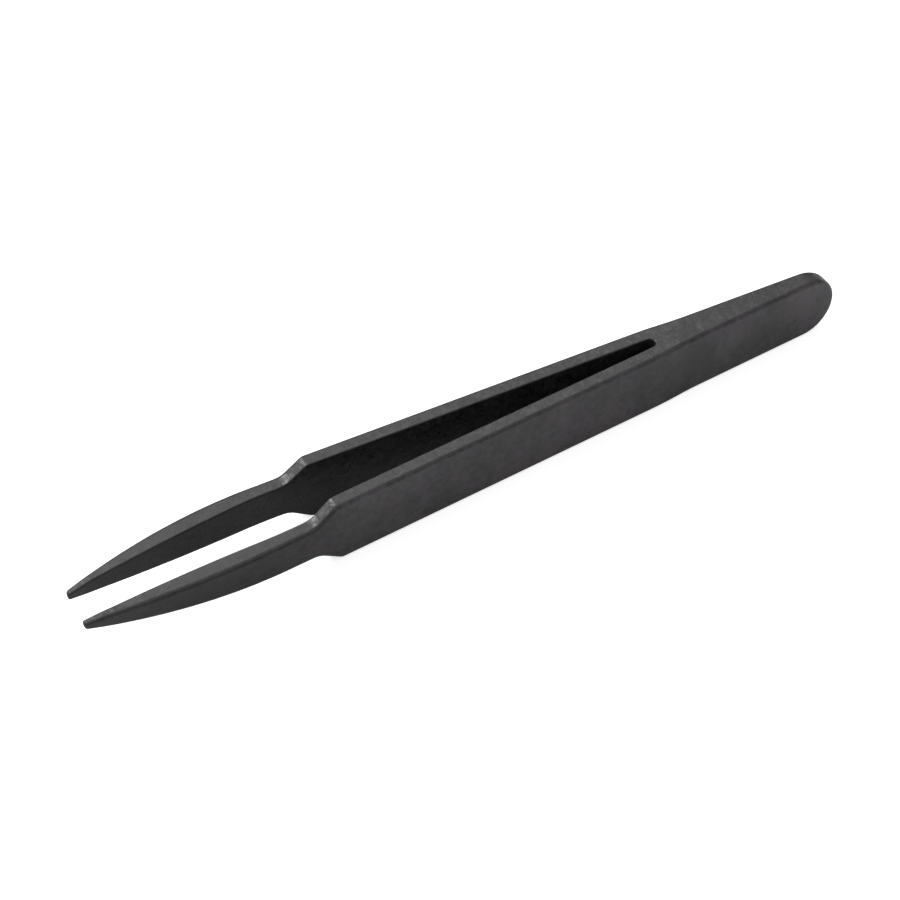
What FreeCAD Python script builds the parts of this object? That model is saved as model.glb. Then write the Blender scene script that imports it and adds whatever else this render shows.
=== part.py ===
import FreeCAD, Part
import math
import os

# One-piece moulded tweezers, in millimetres. X runs from the tips (-X) to the
# closed end (+X), Y across the gap, Z up from the narrow edges it rests on.
# Stations named "from_tips" are distances along X from the ends of the tips.

# Whole piece
length = 115.0
width = 9.72

# Arms, between the prongs and the closed end
arm_thickness = 2.18
arm_lean = 2.75
gap_end_width = 1.63

# Closed end: its outer faces lie a little inside the arms' outer faces
joined_length = 29.56
end_step = 0.27
end_step_length = 9.0
end_step_lead = 2.0
end_thickness = 2.49

# Prongs, seen from above
knee_from_tips = 26.8
knee_inner_radius = 60.0
prong_inner_lean = 2.45
tip_bend_from_tips = 4.0
tip_bend_radius = 35.0
tip_inner_lean = 4.6
tip_thickness = 0.92
tip_corner_radius = 0.5
prong_outer_lean = 11.25
prong_outer_radius = 87.0

# Prongs, seen from the side
tip_height = 1.0
tip_flank_length = 1.8
tip_flank_lean = 10.4
tip_flank_radius = 30.0
prong_height = 5.2
prong_level_length = 0.56
shoulder_lean = 35.6
shoulder_from_tips = 34.28
shoulder_foot_radius = 3.0
shoulder_top_radius = 1.1

# Rounded edges: the outer ones are tightest at the tips and grow to their full radius
outer_edge_radius = 0.60
outer_edge_tip_radius = 0.34
outer_edge_full_from_tips = 9.0
inner_edge_radius = 0.20

# Places that follow from the sizes above
gap_end_from_tips = length - joined_length
step_from_tips = gap_end_from_tips - end_step_lead
tip_end = -length / 2.0 + 0.001


def slope(angle):
    return math.tan(math.radians(angle))


def line(p, q):
    return Part.LineSegment(p, q).toShape()


def arc(p, q, r):
    return Part.Arc(p, q, r).toShape()


def unit(v):
    w = FreeCAD.Vector(v)
    w.normalize()
    return w


def rounded(corner, before, after, radius):
    """Start, middle and end of the arc that rounds a corner of an outline."""
    a = unit(before - corner)
    b = unit(after - corner)
    half = a.getAngle(b) / 2.0
    reach = radius / math.tan(half)
    middle = corner + unit(a + b) * (radius / math.sin(half) - radius)
    return corner + a * reach, middle, corner + b * reach


def polyline(points, radii):
    """Edges through the points, with an arc at each point that has a radius."""
    edges = []
    last = points[0]
    for i in range(1, len(points) - 1):
        if radii[i] > 0:
            start, middle, end = rounded(points[i], points[i - 1], points[i + 1], radii[i])
        else:
            start, middle, end = points[i], None, points[i]
        edges.append(line(last, start))
        if middle is not None:
            edges.append(arc(start, middle, end))
        last = end
    edges.append(line(last, points[-1]))
    return edges


def mirrored(edges, normal):
    return [e.mirror(FreeCAD.Vector(0, 0, 0), normal) for e in edges]


def plan_point(from_tips, y):
    return FreeCAD.Vector(from_tips - length / 2.0, y, 0)


def side_point(from_tips, z):
    return FreeCAD.Vector(from_tips - length / 2.0, 0, z)


def arm_inner(from_tips):
    return gap_end_width / 2.0 + (gap_end_from_tips - from_tips) * slope(arm_lean)


def arm_outer(from_tips):
    return arm_inner(from_tips) + arm_thickness / math.cos(math.radians(arm_lean))


def inner_points():
    """Inner face of the far arm, from the tip to the round end of the gap."""
    knee = arm_inner(knee_from_tips)
    bend = knee - (knee_from_tips - tip_bend_from_tips) * slope(prong_inner_lean)
    tip = bend - tip_bend_from_tips * slope(tip_inner_lean)
    return [
        plan_point(0, tip),
        plan_point(tip_bend_from_tips, bend),
        plan_point(knee_from_tips, knee),
    ]


def gap_end():
    """Where the far arm's inner face meets the round end, and that end's point."""
    lean = math.radians(arm_lean)
    radius = gap_end_width / 2.0 / (math.cos(lean) + (1.0 - math.sin(lean)) * math.tan(lean))
    centre = gap_end_from_tips - radius
    meet = plan_point(centre + radius * math.sin(lean), radius * math.cos(lean))
    return meet, plan_point(gap_end_from_tips, 0)


def outer_points():
    """Outer face of the far arm, from the tip to the start of the closed end."""
    tip = inner_points()[0].y + tip_thickness
    fall = slope(prong_outer_lean)
    level = arm_outer(0)
    knee = (level - tip) / (fall + slope(arm_lean))
    return [
        plan_point(0, tip),
        plan_point(knee, tip + knee * fall),
        plan_point(step_from_tips, arm_outer(step_from_tips)),
    ]


def end_slope():
    """Lean of the closed end's outer faces, from its step to its full length."""
    fall = arm_outer(step_from_tips) - end_step - end_thickness / 2.0
    return fall / (length - step_from_tips)


def end_outer(from_tips):
    return end_thickness / 2.0 + (length - from_tips) * end_slope()


def plan_outline():
    """Outer and inner edges of the outline seen from above, far side and mirror."""
    inner = inner_points()
    outer = outer_points()
    meet, tip_of_gap = gap_end()
    front = [inner[2], inner[1], inner[0], outer[0], outer[1], outer[2]]
    edges = polyline([meet] + front, [0, knee_inner_radius, tip_bend_radius, 0,
                                      tip_corner_radius, prong_outer_radius, 0])
    start = outer[2]
    stop_at = step_from_tips + end_step_length
    stop = plan_point(stop_at, end_outer(stop_at))
    pull = end_step_length / 2.0
    step = Part.BezierCurve()
    step.setPoles([
        start,
        start + FreeCAD.Vector(pull, -pull * slope(arm_lean), 0),
        stop - FreeCAD.Vector(pull, -pull * end_slope(), 0),
        stop,
    ])
    edges.append(step.toShape())
    past = length + width / 2.0
    back = plan_point(past, end_outer(past))
    edges.append(line(stop, back))
    across = FreeCAD.Vector(0, 1, 0)
    near = mirrored(edges, across)
    gap = [arc(meet, tip_of_gap, FreeCAD.Vector(meet.x, -meet.y, 0))]
    close = [line(back, FreeCAD.Vector(back.x, -back.y, 0))]
    return edges + near + gap + close


def belly_points(flank, level):
    """Turn from the tip's straight flank to level, by two arcs that meet smoothly."""
    lean = math.radians(tip_flank_lean)
    across = level.x - flank.x - tip_flank_radius * math.sin(lean)
    rise = level.z - flank.z - tip_flank_radius * (1.0 - math.cos(lean))
    turn = 2.0 * math.atan(rise / across)
    belly_radius = tip_flank_radius + across / math.sin(turn)
    centre = flank + FreeCAD.Vector(math.sin(lean), 0, -math.cos(lean)) * tip_flank_radius
    below = level - FreeCAD.Vector(0, 0, belly_radius)

    def on_flank(angle):
        return centre + FreeCAD.Vector(-math.sin(angle), 0, math.cos(angle)) * tip_flank_radius

    def on_belly(angle):
        return below + FreeCAD.Vector(-math.sin(angle), 0, math.cos(angle)) * belly_radius

    return on_flank((lean + turn) / 2.0), on_flank(turn), on_belly(turn / 2.0)


def side_outline():
    """Outline seen from the side, about the middle of the width."""
    tip = side_point(0, tip_height / 2.0)
    flank_end = tip_height / 2.0 + tip_flank_length * slope(tip_flank_lean)
    flank = side_point(tip_flank_length, flank_end)
    prong = prong_height / 2.0
    body = width / 2.0
    root = shoulder_from_tips - (body - prong) / slope(shoulder_lean)
    foot = root - shoulder_foot_radius * slope(shoulder_lean / 2.0)
    level = side_point(foot - prong_level_length, prong)
    bend, joint, belly = belly_points(flank, level)
    upper = [line(tip, flank), arc(flank, bend, joint), arc(joint, belly, level)]
    upper += polyline([level, side_point(root, prong), side_point(shoulder_from_tips, body),
                       side_point(length - body, body)],
                      [0, shoulder_foot_radius, shoulder_top_radius, 0])
    lower = mirrored(upper, FreeCAD.Vector(0, 0, 1))
    end = side_point(length - body, body)
    low = side_point(length - body, -body)
    nose = line(side_point(0, -tip.z), tip)
    return upper + lower + [nose, arc(end, side_point(length, 0), low)]


def face(edges):
    wire = Part.Wire(Part.__sortEdges__(edges))
    return Part.Face(wire)


def normal(wall, point):
    u, v = wall.Surface.parameter(point)
    return wall.normalAt(u, v)


def rims(solid):
    """Long edges where upright walls meet the narrow faces, outer ones and inner ones."""
    outer = []
    inner = []
    for edge in solid.Edges:
        middle = edge.valueAt((edge.FirstParameter + edge.LastParameter) / 2.0)
        one, other = [normal(f, middle) for f in solid.ancestorsOfType(edge, Part.Face)]
        at_tip = middle.x < tip_end
        if at_tip or one.getAngle(other) < math.radians(20):
            continue
        wall = one if abs(one.z) < abs(other.z) else other
        if wall.y * middle.y > 1e-6:
            outer.append(edge)
        else:
            inner.append(edge)
    return outer, inner


def outer_radius(x):
    """Radius of the outer rims' rounding at a place along X."""
    at_tip = min(outer_edge_tip_radius, 0.47 * min(tip_height, tip_thickness))
    share = min(1.0, (x + length / 2.0) / outer_edge_full_from_tips)
    return at_tip + (outer_edge_radius - at_tip) * share


def rounded_outside(solid, side):
    """Round an arm's outer rim. It runs from the tip along the top, round the closed end and
    back below, in the direction of its first edge, and each edge's two radii follow that."""
    rim = [e for e in rims(solid)[0] if e.BoundBox.Center.y * side > 0]
    rim.sort(key=lambda e: e.Length, reverse=True)
    first = rim[0]
    rises = first.valueAt(first.LastParameter).x > first.valueAt(first.FirstParameter).x
    top_rises = rises == (first.BoundBox.Center.z > 0)
    rows = []
    for edge in rim:
        number = [e.isSame(edge) for e in solid.Edges].index(True) + 1
        radii = [outer_radius(edge.BoundBox.XMin), outer_radius(edge.BoundBox.XMax)]
        if top_rises != (edge.BoundBox.Center.z > 0):
            radii.reverse()
        rows.append((number, radii[0], radii[1]))
    document = FreeCAD.newDocument("rim")
    blank = document.addObject("Part::Feature", "blank")
    blank.Shape = solid
    fillet = document.addObject("Part::Fillet", "fillet")
    fillet.Base = blank
    fillet.Edges = rows
    document.recompute()
    rounded_solid = fillet.Shape.copy()
    FreeCAD.closeDocument(document.Name)
    return rounded_solid.Solids[0]


def rounded_inside(solid):
    """Round both arms' inner rims, which run on round the ends of the tips."""
    return solid.makeFillet(inner_edge_radius, rims(solid)[1])


def tweezers():
    plan = face(plan_outline())
    plan.translate(FreeCAD.Vector(0, 0, -width))
    from_above = plan.extrude(FreeCAD.Vector(0, 0, 2.0 * width))
    side = face(side_outline())
    side.translate(FreeCAD.Vector(0, -width, 0))
    from_side = side.extrude(FreeCAD.Vector(0, 2.0 * width, 0))
    solid = from_above.common(from_side).Solids[0]
    for side_of_gap in (1, -1):
        solid = rounded_outside(solid, side_of_gap)
    solid = rounded_inside(solid)
    solid.translate(FreeCAD.Vector(0, 0, width / 2.0))
    return solid


os.makedirs("parts", exist_ok=True)
tweezers().exportStep("parts/tweezers_body.step")
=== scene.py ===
import math

import bpy
from mathutils import Matrix, Vector


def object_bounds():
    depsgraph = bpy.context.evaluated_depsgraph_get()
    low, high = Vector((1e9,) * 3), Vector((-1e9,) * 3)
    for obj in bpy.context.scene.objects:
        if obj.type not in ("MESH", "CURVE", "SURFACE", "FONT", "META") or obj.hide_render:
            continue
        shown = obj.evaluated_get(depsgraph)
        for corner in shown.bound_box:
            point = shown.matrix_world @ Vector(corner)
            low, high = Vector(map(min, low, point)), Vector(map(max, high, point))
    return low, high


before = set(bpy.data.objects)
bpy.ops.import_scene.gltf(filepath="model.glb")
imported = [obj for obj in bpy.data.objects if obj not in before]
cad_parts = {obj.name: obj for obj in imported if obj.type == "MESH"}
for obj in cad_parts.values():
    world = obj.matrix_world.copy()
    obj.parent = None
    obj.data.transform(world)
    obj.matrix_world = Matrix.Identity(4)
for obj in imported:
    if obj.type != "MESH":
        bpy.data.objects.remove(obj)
cad_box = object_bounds()
scene = bpy.context.scene
scene.view_settings.view_transform = "Standard"

low, high = (Vector(c) for c in cad_box)
centre = (low + high) / 2.0

# Camera, fitted to the photo: angles in degrees, lengths in metres
VIEW_AZIMUTH = -27.19
VIEW_ELEVATION = 45.92
VIEW_ROLL = -2.59
VIEW_DISTANCE = 0.27989
PIXELS_PER_METRE = 7500.0
OFFSET_PIXELS = (26.6, -8.7)
PICTURE_PIXELS = 900.0
SENSOR_MM = 36.0
CLIP_START = 0.01
CLIP_END = 20.0

# Noise patterns of the plastic: spots per millimetre
MM_PER_METRE = 1000.0
CLOUD_SCALE = 0.16
MOTTLE_SCALE = 1.1
RIPPLE_SCALE = 0.9
GRAIN_SCALE = 2.6

# Outer faces of the arms, which the colour paints lighter as painted light: along X in millimetres, and how
# squarely a face looks outwards
OUTER_ARM_FROM_MM = -33.0
OUTER_ARM_FULLY_FROM_MM = -19.0
OUTER_ARM_OUTWARD = (0.35, 0.85)
# Convex edges by pointiness, which get painted shade in the colour
EDGE_POINTINESS = (0.52, 0.60)

# Colour of the plastic
DARK_GREY = (0.0080, 0.0077, 0.0079, 1.0)
PALE_GREY = (0.0245, 0.0225, 0.0247, 1.0)
CLOUD_SHARE = 0.40
MOTTLE_SHARE = 0.50
GRAIN_SHARE = 0.10
TONE_RANGE = (0.42, 0.58)
OUTER_ARM_CONTRAST = 0.7
# Painted light: the arms' outer faces are drawn this many times paler
OUTER_ARM_PAINTED_LIGHT = 2.9
# Painted shade: the convex edges are drawn this much darker
EDGE_PAINTED_SHADE = 0.7
TINT_STRENGTH = 0.28

# Roughness of the plastic
MEAN_ROUGHNESS = 0.40
NOISE_RANGE = (0.3, 0.7)
MOTTLE_ROUGHNESS = 0.09
GRAIN_ROUGHNESS = 0.06
UNEVENNESS_OFF_OUTER_ARMS = 1.6
EDGE_SMOOTHING = 0.05
TIP_DULLNESS = 0.14
TIP_DULL_TO_MM = -40.0

# Surface and shader of the plastic
GRAIN_HEIGHT_SHARE = 0.3
RIPPLE_DEPTH = 0.00007
PLASTIC_IOR = 1.5
SPECULAR_LEVEL = 0.5

# Surroundings: strengths are radiances, where 1 is white
WHITE = (1.0, 1.0, 1.0, 1.0)
PAPER = (0.80, 0.80, 0.80, 1.0)
FLOOR_SIZE = 12.0
FLOOR_GLOW = 0.70
WORLD_GLOW = 0.80
MIRRORED_GLOW = 0.05
HORIZON_LIGHT = 0.20
OVERHEAD_GAIN = 4.5
LAMP_DISTANCE = 0.7


def polar(azimuth, elevation):
    """Unit vector from the object towards a place; azimuth 0 is in front (-Y), 90 is to the right (+X)."""
    a = math.radians(azimuth)
    e = math.radians(elevation)
    return Vector((math.sin(a) * math.cos(e), -math.cos(a) * math.cos(e), math.sin(e)))


# Camera

def make_camera():
    back = polar(VIEW_AZIMUTH, VIEW_ELEVATION)
    a = math.radians(VIEW_AZIMUTH)
    level = Vector((math.cos(a), math.sin(a), 0.0))
    up = back.cross(level)
    r = math.radians(VIEW_ROLL)
    right = level * math.cos(r) + up * math.sin(r)
    top = up * math.cos(r) - level * math.sin(r)
    place = centre + back * VIEW_DISTANCE
    place -= right * (OFFSET_PIXELS[0] / PIXELS_PER_METRE)
    place += top * (OFFSET_PIXELS[1] / PIXELS_PER_METRE)
    data = bpy.data.cameras.new("camera")
    data.sensor_width = SENSOR_MM
    data.lens = PIXELS_PER_METRE * VIEW_DISTANCE * SENSOR_MM / PICTURE_PIXELS
    data.clip_start = CLIP_START
    data.clip_end = CLIP_END
    camera = bpy.data.objects.new("camera", data)
    scene.collection.objects.link(camera)
    axes = Matrix((right, top, back)).transposed().to_4x4()
    camera.matrix_world = Matrix.Translation(place) @ axes
    scene.camera = camera


# Node helpers

class Tree:
    """Adds nodes to a node tree from left to right and links them."""

    def __init__(self, tree):
        self.tree = tree
        self.tree.nodes.clear()
        self.count = 0

    def add(self, kind, settings=None, **inputs):
        node = self.tree.nodes.new(kind)
        node.location = (self.count * 190, 0)
        self.count += 1
        for key, value in (settings or {}).items():
            setattr(node, key, value)
        for key, value in inputs.items():
            self.set(node, key.replace("_", " "), value)
        return node

    def set(self, node, name, value):
        socket = node.inputs[name]
        if isinstance(value, bpy.types.NodeSocket):
            self.tree.links.new(value, socket)
        else:
            socket.default_value = value

    def fill(self, node, *values):
        """Sets or links a node's inputs in their order and gives its first output."""
        for i, value in enumerate(values):
            self.set(node, i, value)
        return node.outputs[0]

    def math(self, operation, *values):
        return self.fill(self.add("ShaderNodeMath", {"operation": operation}), *values)

    def vector(self, operation, *values):
        return self.fill(self.add("ShaderNodeVectorMath", {"operation": operation}), *values)

    def split(self, vector):
        return self.add("ShaderNodeSeparateXYZ", Vector=vector).outputs

    def noise(self, place, scale, detail, roughness):
        return self.add("ShaderNodeTexNoise", Vector=place, Scale=scale, Detail=detail, Roughness=roughness)

    def scaled(self, vector, factor):
        node = self.add("ShaderNodeVectorMath", {"operation": "SCALE"}, Vector=vector, Scale=factor)
        return node.outputs[0]

    def remap(self, value, lo, hi, to_lo, to_hi):
        """Straight ramp between two values, level outside them."""
        return self.fill(self.add("ShaderNodeMapRange"), value, lo, hi, to_lo, to_hi)

    def blend(self, mask, without, within):
        """One value where the mask is 0 and another where it is 1."""
        return self.remap(mask, 0.0, 1.0, without, within)


# Moulded plastic

def plastic_patterns(t):
    """Noise patterns and masks, by name, that the colour, the roughness and the surface share."""
    coordinates = t.add("ShaderNodeTexCoord").outputs
    mm = t.scaled(coordinates["Object"], MM_PER_METRE)
    clouds = t.noise(mm, CLOUD_SCALE, 3.0, 0.55).outputs
    pointiness = t.add("ShaderNodeNewGeometry").outputs["Pointiness"]
    along, across = t.split(mm)[:2]
    outward = t.math("MULTIPLY", t.split(coordinates["Normal"])["Y"], t.math("SIGN", across))
    on_arm = t.remap(along, OUTER_ARM_FROM_MM, OUTER_ARM_FULLY_FROM_MM, 0.0, 1.0)
    return {
        "along": along,
        "cloud": clouds[0],
        "hue": clouds["Color"],
        "mottle": t.noise(mm, MOTTLE_SCALE, 4.0, 0.6).outputs[0],
        "ripple": t.noise(mm, RIPPLE_SCALE, 1.0, 0.4).outputs[0],
        "grain": t.noise(mm, GRAIN_SCALE, 1.5, 0.5).outputs[0],
        # Convex edges, which get painted shade in the colour
        "convex_edge": t.remap(pointiness, *EDGE_POINTINESS, 0.0, 1.0),
        # The arms' outer faces, which get painted light in the colour
        "outer_arm": t.math("MULTIPLY", t.remap(outward, *OUTER_ARM_OUTWARD, 0.0, 1.0), on_arm),
    }


def plastic_colour(t, pattern):
    """Dark grey in soft, faintly tinted clouds, with painted light that makes the arms' outer faces paler
    and painted shade that darkens the convex edges.
    """
    tone = t.math("ADD", t.math("MULTIPLY", pattern["cloud"], CLOUD_SHARE),
                  t.math("MULTIPLY", pattern["mottle"], MOTTLE_SHARE))
    tone = t.math("ADD", tone, t.math("MULTIPLY", pattern["grain"], GRAIN_SHARE))
    contrast = t.math("MULTIPLY", t.remap(tone, *TONE_RANGE, -0.5, 0.5),
                      t.blend(pattern["outer_arm"], 1.0, OUTER_ARM_CONTRAST))
    grey = t.add("ShaderNodeMix", {"data_type": "RGBA"})
    factor, dark, pale, mixed = grey.inputs[0], grey.inputs[6], grey.inputs[7], grey.outputs[2]
    t.tree.links.new(t.math("ADD", contrast, 0.5), factor)
    dark.default_value = DARK_GREY
    pale.default_value = PALE_GREY
    tint = t.vector("MULTIPLY_ADD", pattern["hue"], [TINT_STRENGTH] * 3, [1.0 - TINT_STRENGTH / 2.0] * 3)
    # Painted light pales the arms' outer faces; painted shade darkens the convex edges
    painted_light_and_shade = t.math("MULTIPLY", t.blend(pattern["outer_arm"], 1.0, OUTER_ARM_PAINTED_LIGHT),
                  t.blend(pattern["convex_edge"], 1.0, EDGE_PAINTED_SHADE))
    return t.scaled(t.vector("MULTIPLY", mixed, tint), painted_light_and_shade)


def plastic_roughness(t, pattern):
    """Satin and mottled, evener on the arms' outer faces, smoother on the edges, duller towards the tips.
    """
    mottle = t.remap(pattern["mottle"], *NOISE_RANGE, -MOTTLE_ROUGHNESS, MOTTLE_ROUGHNESS)
    grain = t.remap(pattern["grain"], *NOISE_RANGE, -GRAIN_ROUGHNESS, GRAIN_ROUGHNESS)
    evenness = t.blend(pattern["outer_arm"], UNEVENNESS_OFF_OUTER_ARMS, 1.0)
    rough = t.math("MULTIPLY", t.math("ADD", mottle, grain), evenness)
    rough = t.math("ADD", rough, MEAN_ROUGHNESS)
    rough = t.math("SUBTRACT", rough, t.math("MULTIPLY", pattern["convex_edge"], EDGE_SMOOTHING))
    tip_mm = low.x * MM_PER_METRE
    return t.math("ADD", rough, t.remap(pattern["along"], tip_mm, TIP_DULL_TO_MM, TIP_DULLNESS, 0.0))


def plastic_surface(t, pattern):
    """Shallow ripples with a fine grain on them."""
    grain = t.math("MULTIPLY", pattern["grain"], GRAIN_HEIGHT_SHARE)
    height = t.math("ADD", pattern["ripple"], grain)
    return t.add("ShaderNodeBump", Strength=1.0, Distance=RIPPLE_DEPTH, Height=height).outputs[0]


def moulded_plastic():
    """Black carbon-filled plastic, as moulded."""
    material = bpy.data.materials.new("moulded_plastic")
    material.use_nodes = True
    t = Tree(material.node_tree)
    pattern = plastic_patterns(t)
    colour = plastic_colour(t, pattern)
    rough = plastic_roughness(t, pattern)
    surface = plastic_surface(t, pattern)
    shader = t.add("ShaderNodeBsdfPrincipled", Roughness=rough, IOR=PLASTIC_IOR, Normal=surface,
                   Base_Color=colour, Specular_IOR_Level=SPECULAR_LEVEL)
    t.add("ShaderNodeOutputMaterial", Surface=shader.outputs[0])
    return material


# Surroundings

def background_glow(t, camera_strength):
    """Extra strength that the camera sees as a white background; reflections show a little of it."""
    path = t.add("ShaderNodeLightPath")
    mirrored = t.math("MAXIMUM", path.outputs["Is Glossy Ray"], path.outputs["Is Transmission Ray"])
    seen = t.math("MULTIPLY", path.outputs["Is Camera Ray"], camera_strength)
    return t.math("ADD", seen, t.math("MULTIPLY", mirrored, MIRRORED_GLOW))


def floor_material():
    """Pale matt paper that the camera sees as white where no shadow falls."""
    material = bpy.data.materials.new("paper")
    material.use_nodes = True
    t = Tree(material.node_tree)
    paper = t.add("ShaderNodeBsdfDiffuse", Color=PAPER)
    glow = t.add("ShaderNodeEmission", Color=WHITE, Strength=background_glow(t, FLOOR_GLOW))
    both = t.fill(t.add("ShaderNodeAddShader"), paper.outputs[0], glow.outputs[0])
    t.add("ShaderNodeOutputMaterial", Surface=both)
    return material


def make_floor():
    far = FLOOR_SIZE / 2.0
    mesh = bpy.data.meshes.new("floor")
    corners = [(-far, -far, low.z), (far, -far, low.z), (far, far, low.z), (-far, far, low.z)]
    mesh.from_pydata(corners, [], [(0, 1, 2, 3)])
    mesh.materials.append(floor_material())
    floor = bpy.data.objects.new("floor", mesh)
    scene.collection.objects.link(floor)


def make_world():
    """Room light, dim at the horizon and bright overhead."""
    world = bpy.data.worlds.new("room")
    world.use_nodes = True
    t = Tree(world.node_tree)
    direction = t.add("ShaderNodeTexCoord").outputs["Generated"]
    up = t.math("MAXIMUM", t.split(direction)["Z"], 0.0)
    level = t.math("MULTIPLY", t.math("POWER", OVERHEAD_GAIN, up), HORIZON_LIGHT)
    strength = t.math("ADD", level, background_glow(t, WORLD_GLOW))
    light = t.add("ShaderNodeBackground", Color=WHITE, Strength=strength)
    t.add("ShaderNodeOutputWorld", Surface=light.outputs[0])
    scene.world = world


def softbox(name, azimuth, elevation, width, radiance):
    """Square lamp that faces the object from a direction given in degrees; its width is in metres."""
    data = bpy.data.lights.new(name, "AREA")
    data.shape = "SQUARE"
    data.size = width
    data.energy = radiance * math.pi * width * width
    lamp = bpy.data.objects.new(name, data)
    scene.collection.objects.link(lamp)
    direction = polar(azimuth, elevation)
    lamp.location = centre + direction * LAMP_DISTANCE
    lamp.rotation_euler = direction.to_track_quat("Z", "Y").to_euler()


# The one moulded piece

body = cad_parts["tweezers_body"]
plastic = moulded_plastic()
for slot in body.material_slots:
    slot.material = plastic

make_floor()
make_world()
softbox("softbox_back", azimuth=157, elevation=48, width=0.40, radiance=1.75)
softbox("softbox_back_left", azimuth=213, elevation=41, width=0.34, radiance=8.8)
make_camera()
